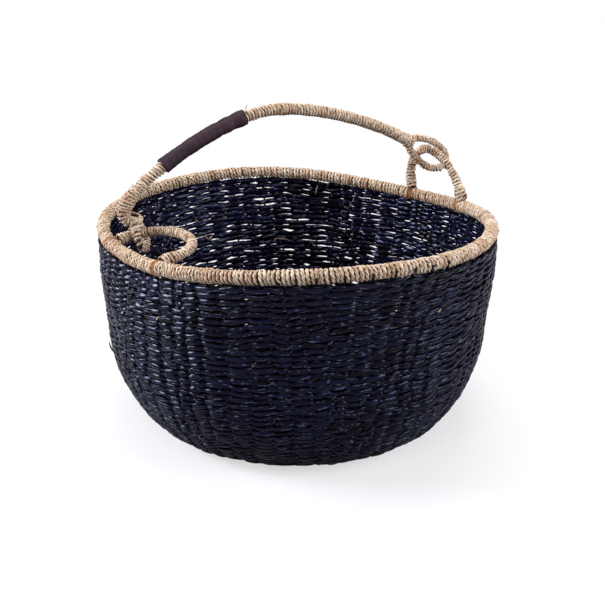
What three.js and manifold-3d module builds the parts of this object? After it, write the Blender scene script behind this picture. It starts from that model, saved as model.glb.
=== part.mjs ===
// Round woven storage basket with one bail handle, hung from two eyes on its rim.
// Millimetres, +Z up. X runs from the folded eye (-X) to the standing eye (+X).

import * as THREE from 'three';
import { mergeVertices } from 'three/addons/utils/BufferGeometryUtils.js';
import Module from 'manifold-3d';

const wasm = await Module();
wasm.setup();

// Woven bowl: flat base, round corner, then a wall that leans out to the rim
const baseRadius = 120;
const cornerRadius = 186;
const cornerHeight = 110;
const cornerPower = 1.85;
const wallThickness = 6;

// Rim: mean size of its centre line, and how the hand-made ring strays from a circle
const rimRadius = 193.7;
const rimHeight = 197.9;
const rimOval = [[2, 0.0721, 159.9], [3, 0.0394, -8]];
const rimWave = [[1, 6.4, -76], [2, 8.3, 151.3], [3, 1, -119], [4, 1.4, -129.4]];

// Round stock: bare core and bound diameter of each part
const rimCore = 8;
const rimBound = 13.2;
const eyeCore = 5.4;
const eyeBound = 10;
const handleCore = 7.4;
const handleBound = 12;
const loopCore = 3.8;
const loopBound = 7.8;

// Binding cord: depth of the groove between turns and width of a group of turns
const grooveDepth = 0.7;
const rimTurn = 10.5;
const eyeTurn = 9;
const handleTurn = 10;
const loopTurn = 7;

// Clearances: between touching pieces, and between a core and its binding
const gap = 0.3;
const boreGap = 0.6;

// Lashings that tie the eyes' feet to the rim
const lashingWidth = 11;
const lashingExtra = 0.7;

// Eyes: where the feet stand on the rim (degrees), reach, lean and outline
const nearFeet = [156.5, 191.5];
const nearFootLean = 67;
const nearReach = 40;
const nearRise = 9;
const nearSkew = 2;
const nearPower = 2.3;
const farFeet = [11.5, -12.5];
const farFootLean = 5;
const farReach = 40;
const farRise = 88;
const farSkew = 11;
const farPower = 1.85;

// End loops: length, clear width, and the place of the eye in each
const nearLoopLength = 27;
const nearLoopWidth = 15.5;
const nearLinkShare = 0.11;
const nearPlay = 0.3;
const nearHang = [7, -4, -27];
const nearOpenAcross = [0.68, 0.73, 0];
const farLoopLength = 57;
const farLoopWidth = 18;
const farLinkShare = 0.44;
const farLinkPlace = 28;
const farDroop = 30;
const strandGap = 0.8;
const knotBack = 7;
const knotHold = 16;

// Handle rod: height of the arch over the rim and the shape of its near hook
const archHeight = 101;
const archPlace = 0.48;
const hookReach = 13;
const forkDepth = 7;
const shoulderRise = 43;
const shoulderSlope = 38;

// Splice: the near loop's cane ends lie along the rod under its cord, and thicken it
const spliceStart = 10;
const spliceRise = 4;
const spliceFall = 16;
const spliceLength = 28;
const spliceExtra = 1.5;

// Leather grip on the rod, measured along it from the near end
const gripStart = 70;
const gripLength = 93;
const gripWall = 0.9;
const gripLap = 0.6;

const UP = new THREE.Vector3(0, 0, 1);
const radians = THREE.MathUtils.degToRad;

// A route in space with distances along it and a frame at any distance
class Route {
  constructor(at, start, end, across) {
    const count = 600;
    this.across = across;
    this.start = start;
    this.end = end;
    this.points = [];
    this.along = [0];
    for (let i = 0; i <= count; i += 1) {
      this.points.push(at(start + ((end - start) * i) / count));
      if (i > 0) this.along.push(this.along[i - 1] + this.points[i].distanceTo(this.points[i - 1]));
    }
    this.length = this.along[count];
    this.closed = this.points[0].distanceTo(this.points[count]) < 1e-6;
  }

  place(distance) {
    const count = this.points.length - 1;
    let d = distance;
    if (this.closed) d = ((d % this.length) + this.length) % this.length;
    const bounded = Math.min(Math.max(d, 0), this.length);
    let low = 0;
    let high = count;
    while (high - low > 1) {
      const middle = (low + high) >> 1;
      if (this.along[middle] <= bounded) low = middle;
      else high = middle;
    }
    const share = (bounded - this.along[low]) / (this.along[high] - this.along[low]);
    const point = this.points[low].clone().lerp(this.points[high], share);
    if (d === bounded) return point;
    const edge = d < 0 ? [0, 1] : [count - 1, count];
    const out = this.points[edge[1]].clone().sub(this.points[edge[0]]).normalize();
    return point.addScaledVector(out, d - bounded);
  }

  frame(distance) {
    const step = 0.4;
    const tangent = this.place(distance + step).sub(this.place(distance - step)).normalize();
    const side = this.across.clone().cross(tangent).normalize();
    const lift = tangent.clone().cross(side);
    return { point: this.place(distance), tangent, side, lift };
  }

  distanceOf(parameter) {
    const share = (parameter - this.start) / (this.end - this.start);
    return this.along[Math.round(share * (this.along.length - 1))];
  }
}

// One ring of points round the route
function ring(route, distance, radius, sides, shape) {
  const { point, side, lift } = route.frame(distance);
  const points = [];
  for (let i = 0; i < sides; i += 1) {
    const angle = ((i + 0.5) / sides) * 2 * Math.PI;
    const size = shape ? shape(i / sides, radius) : radius;
    points.push(point.clone()
      .addScaledVector(side, size * Math.cos(angle))
      .addScaledVector(lift, size * Math.sin(angle)));
  }
  return points;
}

// Skins a row of rings: joined end to end when looped, else closed by a fan at each end
function skin(rings, looped, ends) {
  const sides = rings[0].length;
  const vertices = rings.flat().map((p) => [p.x, p.y, p.z]).flat();
  const faces = [];
  const spans = looped ? rings.length : rings.length - 1;
  for (let r = 0; r < spans; r += 1) {
    const a = r * sides;
    const b = ((r + 1) % rings.length) * sides;
    for (let i = 0; i < sides; i += 1) {
      const j = (i + 1) % sides;
      faces.push(a + i, a + j, b + j, a + i, b + j, b + i);
    }
  }
  if (!looped) {
    const last = (rings.length - 1) * sides;
    const first = vertices.length / 3;
    vertices.push(...ends[0].toArray(), ...ends[1].toArray());
    for (let i = 0; i < sides; i += 1) {
      const j = (i + 1) % sides;
      faces.push(first, j, i, first + 1, last + i, last + j);
    }
  }
  const geometry = new THREE.BufferGeometry();
  geometry.setAttribute('position', new THREE.Float32BufferAttribute(vertices, 3));
  geometry.setIndex(faces);
  return geometry;
}

// Plain round rod, flat at its ends
function rod(route, from, to, radius, steps, sides) {
  const rings = [];
  for (let i = 0; i <= steps; i += 1) {
    rings.push(ring(route, from + ((to - from) * i) / steps, radius, sides));
  }
  return skin(rings, false, [route.place(from), route.place(to)]);
}

// Rod with a ball at each end, centred on the ends of the route
function ballEndedRod(route, radius, ball, steps, sides) {
  const rings = [];
  const inner = Math.PI - Math.asin(radius / ball);
  const turns = 6;
  for (let i = 1; i <= turns; i += 1) {
    const angle = (inner * i) / turns;
    rings.push(ring(route, -ball * Math.cos(angle), ball * Math.sin(angle), sides));
  }
  const neck = -ball * Math.cos(inner);
  for (let i = 1; i < steps; i += 1) {
    rings.push(ring(route, neck + ((route.length - 2 * neck) * i) / steps, radius, sides));
  }
  for (let i = turns; i >= 1; i -= 1) {
    const angle = (inner * i) / turns;
    rings.push(ring(route, route.length + ball * Math.cos(angle), ball * Math.sin(angle), sides));
  }
  return skin(rings, false, [route.place(-ball), route.place(route.length + ball)]);
}

// Cord wound over a core: a tube with a groove between each group of turns
function binding(route, from, to, outer, bore, turn, sides, boreEvery, extra = () => 0) {
  const turns = Math.max(1, Math.round((to - from) / turn / boreEvery)) * boreEvery;
  const step = (to - from) / turns;
  const rings = [];
  for (let i = 0; i < turns; i += 1) {
    const groove = from + step * i;
    const crest = from + step * (i + 0.5);
    rings.push(ring(route, groove, outer - grooveDepth + extra(groove), sides));
    rings.push(ring(route, crest, outer + extra(crest), sides));
  }
  rings.push(ring(route, to, outer - grooveDepth, sides));
  for (let i = turns; i >= 0; i -= boreEvery) {
    rings.push(ring(route, from + step * i, bore, sides));
  }
  return skin(rings, true);
}

// Sum of waves round the rim at an angle, each as order, size and phase in degrees
function waves(list, angle) {
  return list.reduce((sum, [order, size, phase]) => (
    sum + size * Math.cos(order * angle - radians(phase))
  ), 0);
}

// Rim centre line at an angle
function rimPoint(angle) {
  const radius = rimRadius * (1 + waves(rimOval, angle));
  return new THREE.Vector3(
    radius * Math.cos(angle),
    radius * Math.sin(angle),
    rimHeight + waves(rimWave, angle),
  );
}

// Woven bowl: rings of points from the middle of the base, up the outside and down the inside
function wovenBowl(segments) {
  const top = rimHeight - rimBound / 2 - gap;
  const outline = [];
  const cornerSteps = 7;
  const wallSteps = 3;
  for (let i = 0; i <= cornerSteps; i += 1) {
    const a = (Math.PI / 2) * (i / cornerSteps);
    outline.push([
      baseRadius + (cornerRadius - baseRadius) * Math.sin(a) ** (2 / cornerPower),
      cornerHeight * (1 - Math.cos(a) ** (2 / cornerPower)),
    ]);
  }
  for (let i = 1; i <= wallSteps; i += 1) {
    const share = i / wallSteps;
    outline.push([
      cornerRadius + (rimRadius + wallThickness - cornerRadius) * share,
      cornerHeight + (top - cornerHeight) * share,
    ]);
  }
  const inside = outline.map(([r, z], i) => {
    const [r0, z0] = outline[Math.max(i - 1, 0)];
    const [r1, z1] = outline[Math.min(i + 1, outline.length - 1)];
    const length = Math.hypot(r1 - r0, z1 - z0);
    if (i === 0) return [r - wallThickness * 0.4, wallThickness];
    if (i === outline.length - 1) return [r - wallThickness, z];
    return [r - (wallThickness * (z1 - z0)) / length, z + (wallThickness * (r1 - r0)) / length];
  }).reverse();
  const rings = [...outline, ...inside].map(([r, z]) => {
    const share = (z / top) ** 5;
    const lift = Math.max(z / top, 0) ** 2;
    const points = [];
    for (let i = 0; i < segments; i += 1) {
      const angle = (i / segments) * 2 * Math.PI;
      const radius = r + share * rimRadius * waves(rimOval, angle);
      const flat = z <= wallThickness;
      points.push(new THREE.Vector3(
        radius * Math.cos(angle),
        radius * Math.sin(angle),
        flat ? z : z + lift * waves(rimWave, angle),
      ));
    }
    return points;
  });
  return skin(rings, false, [new THREE.Vector3(0, 0, 0), new THREE.Vector3(0, 0, wallThickness)]);
}

// Centre of an eye's foot: on the inner upper side of the rim, seated on its lashing
function footPoint(degrees, footLean) {
  const angle = radians(degrees);
  const seat = rimBound / 2 + lashingExtra + gap + eyeBound / 2;
  const inward = new THREE.Vector3(-Math.cos(angle), -Math.sin(angle), 0);
  return rimPoint(angle)
    .addScaledVector(inward, seat * Math.sin(radians(footLean)))
    .addScaledVector(UP, seat * Math.cos(radians(footLean)));
}

// Eye: an arch of bound rod between two feet, leaning in over the mouth by rise degrees
function eyeRoute(feet, footLean, reach, rise, skew, power) {
  const [left, right] = feet.map((degrees) => footPoint(degrees, footLean));
  const middle = left.clone().add(right).multiplyScalar(0.5);
  const chord = left.clone().sub(right);
  const half = chord.length() / 2;
  chord.normalize();
  const inward = UP.clone().cross(chord).normalize();
  if (inward.dot(middle) > 0) inward.negate();
  const upward = inward.clone().cross(chord).normalize();
  if (upward.z < 0) upward.negate();
  const arm = inward.clone().multiplyScalar(Math.cos(radians(rise)))
    .addScaledVector(upward, Math.sin(radians(rise)));
  const at = (t) => {
    const c = Math.sign(Math.cos(t)) * Math.abs(Math.cos(t)) ** (2 / power);
    const s = Math.abs(Math.sin(t)) ** (2 / power);
    return middle.clone()
      .addScaledVector(chord, half * c + skew * s)
      .addScaledVector(arm, reach * s);
  };
  const route = new Route(at, 0, Math.PI, chord.clone().cross(arm).normalize());
  return { route, chord, arm, left, right };
}

// End loop: a drop of bound cord in the plane of its two axes, with its point at the fork
function loopRoute(tip, along, across, length, width) {
  const peak = 0.8625;
  const half = (t) => ((width + loopBound) / 2 / peak) * Math.sin(t) * Math.sqrt(Math.sin(t / 2));
  const at = (t) => tip.clone()
    .addScaledVector(along, (length * (1 - Math.cos(t))) / 2)
    .addScaledVector(across, half(t));
  let start = 0;
  while (half(start) < (loopBound + strandGap) / 2) start += 0.001;
  const normal = along.clone().cross(across).normalize();
  const route = new Route(at, start, 2 * Math.PI - start, normal);
  const reach = (length * (1 - Math.cos(start))) / 2;
  return { route, half, reach };
}

// How far from its point a loop first has room for a round bar between its strands
function seatDistance(loop, tip, along, clear) {
  const shortest = (p) => loop.route.points.reduce((least, q) => Math.min(least, p.distanceTo(q)), 1e9);
  let distance = clear;
  while (shortest(tip.clone().addScaledVector(along, distance)) < clear) distance += 0.05;
  return distance;
}

const closedGeometry = (geometry) => {
  const bare = geometry.clone();
  bare.deleteAttribute('normal');
  bare.deleteAttribute('uv');
  return mergeVertices(bare, 1e-5);
};

const toManifold = (geometry) => {
  const merged = closedGeometry(geometry);
  return new wasm.Manifold(new wasm.Mesh({
    numProp: 3,
    vertProperties: new Float32Array(merged.attributes.position.array),
    triVerts: new Uint32Array(merged.index.array),
  }));
};

const toGeometry = (solid) => {
  const mesh = solid.getMesh();
  const geometry = new THREE.BufferGeometry();
  geometry.setAttribute('position', new THREE.BufferAttribute(new Float32Array(mesh.vertProperties), 3));
  geometry.setIndex(new THREE.BufferAttribute(new Uint32Array(mesh.triVerts), 1));
  return geometry;
};

// Knot of cord over a fork: a rounded lump with bores for the rod and the two strands
function forkLashing(tip, along, across, back, front, rodRoute, rodSpan, loop) {
  const normal = along.clone().cross(across).normalize();
  const size = [(back + front) / 2, loopBound + strandGap / 2 + 1.8, handleBound / 2 + 1.4];
  const lump = new THREE.SphereGeometry(1, 16, 12);
  lump.scale(size[0], size[1], size[2]);
  const centre = tip.clone().addScaledVector(along, (front - back) / 2);
  lump.applyMatrix4(new THREE.Matrix4().makeBasis(along, across, normal).setPosition(centre));
  const strandReach = size[0] * 1.6;
  const strand = (from, to) => toManifold(rod(loop.route, from, to, loopBound / 2 + gap, 5, 8));
  const rodBore = toManifold(rod(rodRoute, rodSpan[0], rodSpan[1], handleBound / 2 + gap, 5, 10));
  return toGeometry(toManifold(lump)
    .subtract(rodBore)
    .subtract(strand(-2.5, strandReach))
    .subtract(strand(loop.route.length - strandReach, loop.route.length + 2.5)));
}

const basket = new THREE.Group();
const pieces = {};

// Adds a piece to the basket with its own material
function piece(name, geometry, colour, roughness) {
  const material = new THREE.MeshStandardMaterial({ color: colour, roughness, metalness: 0 });
  const mesh = new THREE.Mesh(geometry, material);
  mesh.name = name;
  basket.add(mesh);
  pieces[name] = mesh;
}

const darkWeave = 0x23243a;
const straw = 0xc3a88a;
const darkStraw = 0xa5805f;
const cane = 0x8a6b4a;
const leather = 0x3d2b2c;

// Bowl
piece('woven_body', wovenBowl(56), darkWeave, 0.5);

// Rim: cane hoop with cord wound over it, between the eyes' lashings
const rimRoute = new Route(rimPoint, 0, 2 * Math.PI, UP);
const rimSteps = Math.round(rimRoute.length / rimCore / 1.5);
const hoopRings = [];
for (let i = 0; i < rimSteps; i += 1) {
  hoopRings.push(ring(rimRoute, (rimRoute.length * i) / rimSteps, rimCore / 2, 8));
}
piece('rim_hoop', skin(hoopRings, true), cane, 0.7);
const rimBore = rimCore / 2 + boreGap;
const footAt = (degrees) => {
  const turn = ((radians(degrees) % (2 * Math.PI)) + 2 * Math.PI) % (2 * Math.PI);
  return rimRoute.distanceOf(turn);
};
const feetAlong = {
  far_left: footAt(farFeet[0]),
  near_left: footAt(nearFeet[0]),
  near_right: footAt(nearFeet[1]),
  far_right: footAt(farFeet[1]),
};
for (const [name, distance] of Object.entries(feetAlong)) {
  const from = distance - lashingWidth / 2;
  const outer = rimBound / 2 + lashingExtra;
  piece(`lashing_${name}`, binding(rimRoute, from, from + lashingWidth, outer, rimBore, 4, 8, 3),
    darkStraw, 0.7);
}
const rimSpans = [
  ['rim_binding_back', feetAlong.far_left, feetAlong.near_left],
  ['rim_binding_near', feetAlong.near_left, feetAlong.near_right],
  ['rim_binding_front', feetAlong.near_right, feetAlong.far_right],
  ['rim_binding_far', feetAlong.far_right, feetAlong.far_left + rimRoute.length],
];
for (const [name, from, to] of rimSpans) {
  const clear = lashingWidth / 2 + gap;
  piece(name, binding(rimRoute, from + clear, to - clear, rimBound / 2, rimBore, rimTurn, 8, 2),
    straw, 0.75);
}

// Eyes: the near one folded in over the mouth, the far one standing
const nearEye = eyeRoute(nearFeet, nearFootLean, nearReach, nearRise, nearSkew, nearPower);
const farEye = eyeRoute(farFeet, farFootLean, farReach, farRise, farSkew, farPower);
for (const [name, eye] of [['near', nearEye], ['far', farEye]]) {
  const { route } = eye;
  const neck = eyeBound / 2 + gap;
  const steps = Math.round((route.length - 2 * neck) / eyeTurn);
  piece(`${name}_eye_core`, ballEndedRod(route, eyeCore / 2, eyeBound / 2, steps, 8), cane, 0.7);
  piece(`${name}_eye_binding`,
    binding(route, neck, route.length - neck, eyeBound / 2, eyeCore / 2 + boreGap, eyeTurn, 8, 1),
    straw, 0.75);
}

// Links: the near loop hangs on the near eye's left leg, the far loop on the far eye's crown
const contact = eyeBound / 2 + loopBound / 2 + gap;
const nearLink = nearEye.route.place(nearEye.route.length * nearLinkShare);
const farLink = farEye.route.place(farEye.route.length * farLinkShare);
const planDirection = farLink.clone().sub(nearLink).setZ(0).normalize();

const nearAlong = new THREE.Vector3(...nearHang).normalize();
const nearAcross = new THREE.Vector3(...nearOpenAcross);
nearAcross.addScaledVector(nearAlong, -nearAcross.dot(nearAlong)).normalize();
const nearDrop = loopRoute(new THREE.Vector3(), nearAlong, nearAcross, nearLoopLength, nearLoopWidth);
const nearSeat = seatDistance(nearDrop, new THREE.Vector3(), nearAlong, contact + nearPlay);
const nearTip = nearLink.clone().addScaledVector(nearAlong, -nearSeat);
const nearLoop = loopRoute(nearTip, nearAlong, nearAcross, nearLoopLength, nearLoopWidth);

const farAlong = planDirection.clone().multiplyScalar(Math.cos(radians(farDroop)))
  .addScaledVector(UP, -Math.sin(radians(farDroop)));
const farAcross = farAlong.clone().cross(new THREE.Vector3().crossVectors(planDirection, UP)).negate();
farAcross.normalize();
if (farAcross.z < 0) farAcross.negate();
const farDrop = loopRoute(new THREE.Vector3(), farAlong, farAcross, farLoopLength, farLoopWidth);
const farTurn = Math.acos(1 - (2 * farLinkPlace) / farLoopLength);
const farTip = farLink.clone()
  .addScaledVector(farAlong, -farLinkPlace)
  .addScaledVector(farAcross, contact - farDrop.half(farTurn));
const farLoop = loopRoute(farTip, farAlong, farAcross, farLoopLength, farLoopWidth);

for (const [name, loop] of [['near', nearLoop], ['far', farLoop]]) {
  const { route } = loop;
  const steps = Math.round(route.length / loopTurn);
  piece(`${name}_loop_core`, rod(route, 0.5, route.length - 0.5, loopCore / 2, steps, 6), cane, 0.7);
  piece(`${name}_loop_binding`,
    binding(route, 0, route.length, loopBound / 2, loopCore / 2 + boreGap, loopTurn, 6, 1),
    straw, 0.75);
}

// Handle rod: a hook at the near end, an arch, and a straight run down to the far fork
const entry = planDirection.clone().multiplyScalar(0.8).addScaledVector(nearAlong, 0.4).normalize();
const rodStart = nearTip.clone().addScaledVector(nearAlong, nearLoop.reach)
  .addScaledVector(entry, -forkDepth);
const rodEnd = farTip.clone().addScaledVector(farAlong, farLoop.reach - loopBound / 2 - gap);
const shoulder = nearLink.clone().addScaledVector(UP, shoulderRise);
const slope = planDirection.clone().multiplyScalar(Math.cos(radians(shoulderSlope)))
  .addScaledVector(UP, Math.sin(radians(shoulderSlope)));
const span = rodEnd.clone().sub(shoulder).setZ(0).length();
const crown = shoulder.clone().addScaledVector(planDirection, span * archPlace)
  .setZ(rimHeight + archHeight);
const rodCurve = new THREE.CurvePath();
rodCurve.add(new THREE.CubicBezierCurve3(
  rodStart,
  rodStart.clone().addScaledVector(entry, -hookReach),
  shoulder.clone().addScaledVector(slope, -hookReach),
  shoulder,
));
rodCurve.add(new THREE.CubicBezierCurve3(
  shoulder,
  shoulder.clone().addScaledVector(slope, span * 0.14),
  crown.clone().addScaledVector(planDirection, -span * 0.15),
  crown,
));
rodCurve.add(new THREE.CubicBezierCurve3(
  crown,
  crown.clone().addScaledVector(planDirection, span * 0.15),
  rodEnd.clone().addScaledVector(farAlong, -span * 0.17),
  rodEnd,
));
const rodRoute = new Route((t) => rodCurve.getPoint(t), 0, 1,
  new THREE.Vector3().crossVectors(planDirection, UP).normalize());
const rodTurns = Math.round(rodRoute.length / handleTurn);
piece('handle_core', rod(rodRoute, 0.3, rodRoute.length - 0.3, handleCore / 2, rodTurns, 8), cane, 0.7);
const splice = (distance) => {
  const past = distance - spliceStart;
  return spliceExtra * Math.max(0, Math.min(1, past / spliceRise, (spliceLength - past) / spliceFall));
};
piece('handle_binding',
  binding(rodRoute, 0, rodRoute.length, handleBound / 2, handleCore / 2 + boreGap, handleTurn, 8, 1, splice),
  straw, 0.75);

// Grip: leather rolled once round the bound rod, its edge lapped along the seam
const gripSides = 14;
const gripSteps = Math.round(gripLength / 9);
const gripBore = handleBound / 2 + gap;
const lapped = (share, radius) => radius + gripLap * share;
const gripRings = [];
for (let i = 0; i <= gripSteps; i += 1) {
  gripRings.push(ring(rodRoute, gripStart + (gripLength * i) / gripSteps,
    gripBore + gripWall, gripSides, lapped));
}
for (let i = gripSteps; i >= 0; i -= 1) {
  gripRings.push(ring(rodRoute, gripStart + (gripLength * i) / gripSteps, gripBore, gripSides));
}
piece('grip_sleeve', skin(gripRings, true), leather, 0.8);

// Fork lashings: knots of cord where the rod divides into each loop
const knotFront = nearSeat - eyeBound / 2 - gap;
piece('near_fork_lashing', forkLashing(nearTip, nearAlong, nearAcross, knotBack, knotFront,
  rodRoute, [-gap, knotHold], nearLoop), straw, 0.75);
piece('far_fork_lashing', forkLashing(farTip, farAlong, farAcross, knotBack, knotFront,
  rodRoute, [rodRoute.length - knotHold, rodRoute.length + gap], farLoop), straw, 0.75);

// Origin under the middle of the whole object, on the surface it stands on
const box = new THREE.Box3().setFromObject(basket);
basket.position.set(-(box.min.x + box.max.x) / 2, -(box.min.y + box.max.y) / 2, -box.min.z);
basket.updateMatrixWorld(true);

export default basket;
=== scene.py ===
import math

import bpy
import numpy as np
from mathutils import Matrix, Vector


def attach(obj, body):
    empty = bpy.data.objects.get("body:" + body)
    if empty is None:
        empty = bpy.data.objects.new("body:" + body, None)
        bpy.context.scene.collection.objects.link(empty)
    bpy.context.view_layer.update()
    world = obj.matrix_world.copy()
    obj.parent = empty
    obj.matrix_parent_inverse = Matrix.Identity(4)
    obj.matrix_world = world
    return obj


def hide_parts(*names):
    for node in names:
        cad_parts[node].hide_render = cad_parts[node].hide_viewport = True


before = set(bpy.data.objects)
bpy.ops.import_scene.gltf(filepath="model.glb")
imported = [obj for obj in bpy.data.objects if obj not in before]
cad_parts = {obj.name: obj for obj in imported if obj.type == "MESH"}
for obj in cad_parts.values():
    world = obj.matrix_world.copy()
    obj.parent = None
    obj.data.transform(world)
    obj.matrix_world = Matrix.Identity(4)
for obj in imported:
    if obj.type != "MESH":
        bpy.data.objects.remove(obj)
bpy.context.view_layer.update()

# Camera: looks from the front left and a little above, the whole basket in view.
# The small shift frames the basket off the middle of the square picture.
TARGET = Vector((-0.0113262, -0.0002334, 0.105))
AZIMUTH = math.radians(-37)
ELEVATION = math.radians(20)
DISTANCE = 1.050
back = Vector((
    math.sin(AZIMUTH) * math.cos(ELEVATION),
    -math.cos(AZIMUTH) * math.cos(ELEVATION),
    math.sin(ELEVATION),
))
camera_data = bpy.data.cameras.new("camera")
camera_data.sensor_width = 36
camera_data.lens = 62.777
camera_data.shift_x = 0.00909
camera_data.shift_y = 0.01405
camera = bpy.data.objects.new("camera", camera_data)
camera.location = TARGET + back * DISTANCE
camera.rotation_mode = "QUATERNION"
camera.rotation_quaternion = (-back).to_track_quat("-Z", "Y")
bpy.context.scene.collection.objects.link(camera)
bpy.context.scene.camera = camera


# Woven body: seagrass dyed dark indigo, two strands twined round upright stakes in courses.
# Each strand passes in front of one stake and behind the next, and the two swap at each gap.
MM = 0.001
ORIGIN = np.array([-11.3262, -0.2334, 0.0])
BASE_RADIUS = 120
CORNER_RADIUS = 186
CORNER_HEIGHT = 110
CORNER_POWER = 1.85
WALL = 6
RIM_RADIUS = 193.7
RIM_HEIGHT = 197.9
RIM_BOUND = 13.2
RIM_OVAL = [(2, 0.0721, 159.9), (3, 0.0394, -8)]
RIM_WAVE = [(1, 6.4, -76), (2, 8.3, 151.3), (3, 1, -119), (4, 1.4, -129.4)]
WALL_TOP = RIM_HEIGHT - RIM_BOUND / 2 - 0.3
COURSES = 60
FIRST_COURSE = 4.5
STAKES = [(0, 8), (16, 16), (40, 32), (82, 48), (135, 60), (168, 68)]
STITCH_STEPS = 8
STRAND_SIDES = 9
FLOAT_DEPTH = 1.6
FLOAT_LIMIT = 1.95
FLOAT_SHARPNESS = 1.8
FLOAT_RISE = 0.4
STRAND_HALF_WIDTH = (2.1, 2.9)
STRAND_HALF_THICKNESS = (1.4, 1.35)
STRAND_WIDENING = 0.7
STAKE_SWAY = 0.22
STAKE_SLIP = 0.09
OPEN_COLUMNS = 0.2
SLIT_SHARE = (0.03, 0.4)
SLITS_BY_COURSE = ((24, 36, 41, 47, 60), (0, 1, 1, 0.5, 0.5))
TOP_SLIT_SHARE = 0.45
SLIT_DEPTH = 0.75
SLIT_OPENNESS = (0.55, 1.0)
WANDER = 0.65
COURSE_WANDER = 0.35
SWELL = 0.35
CALM_COURSES = 6
PLUMPNESS = 0.15
UNEVENNESS = 0.3
LAY_PER_STAKE = 0.55
LOBE_DEPTH = 0.10
TONE_STAKES = 9
STAKE_RADIUS = 1.2
STAKE_SIDES = 5
TOP_CLEAR = 3.2


def waves(terms, angle):
    """Sum over the terms of size x cos(order x angle - phase)."""
    return sum(size * np.cos(order * angle - np.radians(phase)) for order, size, phase in terms)


def ripple(seed, angle, row, size, orders, drift):
    """Smooth wander round the basket: a sum of cosines of whole orders, each sliding with the row."""
    draw = np.random.default_rng(seed)
    total = 0.0
    for order in orders:
        slide = draw.uniform(-drift, drift) * row
        total = total + np.cos(order * angle + slide + draw.uniform(0, 2 * np.pi))
    return size * total / math.sqrt(len(orders) / 2)


def bowl_outline():
    """Outline of the bowl: flat base, superellipse corner, straight wall, smoothed over a few mm.

    Returns distance along it, radius, height and the two parts of the outward normal."""
    a = np.linspace(0, np.pi / 2, 4000)
    radius = BASE_RADIUS + (CORNER_RADIUS - BASE_RADIUS) * np.sin(a) ** (2 / CORNER_POWER)
    height = CORNER_HEIGHT * (1 - np.cos(a) ** (2 / CORNER_POWER))
    radius = np.concatenate([[0], radius, [RIM_RADIUS + WALL]])
    height = np.concatenate([[0], height, [WALL_TOP]])
    along = np.concatenate([[0], np.cumsum(np.hypot(np.diff(radius), np.diff(height)))])
    even = np.arange(0, along[-1], 0.5)
    radius, height = np.interp(even, along, radius), np.interp(even, along, height)
    window = np.hanning(33) / np.hanning(33).sum()
    smooth = [np.convolve(np.pad(v, 16, mode="reflect", reflect_type="odd"), window, "valid")
              for v in (radius, height)]
    turn = np.gradient(smooth[0]), np.gradient(smooth[1])
    length = np.hypot(*turn)
    return even, smooth[0], smooth[1], turn[1] / length, -turn[0] / length


OUTLINE = bowl_outline()
WALL_LENGTH = OUTLINE[0][-1]
COURSE_PITCH = (WALL_LENGTH - TOP_CLEAR - FIRST_COURSE) / (COURSES - 1)


def on_bowl(angle, along, out):
    """Point of the bowl at an angle, a distance along its outline, and a distance out from mid-wall.
    Nothing reaches lower than the floor, where the weight of the basket flattens the strands."""
    radius, height, out_r, out_z = (np.interp(along, OUTLINE[0], v) for v in OUTLINE[1:])
    radius = radius + (out - WALL / 2) * out_r
    height = height + (out - WALL / 2) * out_z + np.maximum(along - WALL_LENGTH, 0)
    share = np.maximum(height / WALL_TOP, 0)
    radius = radius + share ** 5 * RIM_RADIUS * waves(RIM_OVAL, angle)
    height = np.maximum(height + share ** 2 * waves(RIM_WAVE, angle), 0)
    return np.stack([radius * np.cos(angle), radius * np.sin(angle), height], -1) + ORIGIN


def tube_mesh(name, tubes):
    """Joins tubes into one mesh. Each tube is a grid of rings of points, in mm, with the distance
    along it at each ring and a tone at each ring. A closed one runs back into its first ring, and
    an open one is closed by a flat face at each end."""
    points, corners, starts, uv, tones, first = [], [], [], [], [], 0
    count = 0
    for grid, along, tone, closed in tubes:
        rings, sides = grid.shape[:2]
        spans = rings if closed else rings - 1
        i, j = np.meshgrid(np.arange(spans), np.arange(sides), indexing="ij")
        after, beside = (i + 1) % rings, (j + 1) % sides
        quads = np.stack([i * sides + j, i * sides + beside, after * sides + beside, after * sides + j], -1)
        step = np.append(along, 2 * along[-1] - along[-2]) if closed else along
        u = np.stack([step[i], step[i], step[i + 1], step[i + 1]], -1)
        v = np.stack([j, j + 1, j + 1, j], -1) / sides
        corners.append(quads.reshape(-1) + first)
        uv.append(np.stack([u, v], -1).reshape(-1, 2))
        starts.append(count + 4 * np.arange(quads.shape[0] * quads.shape[1]))
        count += quads.size
        if not closed:
            for ring, order in ((0, np.arange(sides)[::-1]), (rings - 1, np.arange(sides))):
                corners.append(first + ring * sides + order)
                uv.append(np.stack([np.full(sides, along[ring]), order / sides], -1))
                starts.append(np.array([count]))
                count += sides
        points.append(grid.reshape(-1, 3))
        tones.append(np.repeat(tone, sides))
        first += rings * sides
    points, corners, starts = np.concatenate(points) * MM, np.concatenate(corners), np.concatenate(starts)
    mesh = bpy.data.meshes.new(name)
    mesh.vertices.add(len(points))
    mesh.vertices.foreach_set("co", points.astype(np.float32).ravel())
    mesh.loops.add(len(corners))
    mesh.loops.foreach_set("vertex_index", corners.astype(np.int32))
    mesh.polygons.add(len(starts))
    mesh.polygons.foreach_set("loop_start", starts.astype(np.int32))
    mesh.update(calc_edges=True)
    mesh.polygons.foreach_set("use_smooth", np.ones(len(starts), bool))
    mesh.uv_layers.new(name="strand").data.foreach_set("uv", np.concatenate(uv).astype(np.float32).ravel())
    mesh.attributes.new("tone", "FLOAT", "POINT").data.foreach_set(
        "value", np.concatenate(tones).astype(np.float32))
    mesh.validate()
    piece = bpy.data.objects.new(name, mesh)
    bpy.context.scene.collection.objects.link(piece)
    return piece


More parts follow.
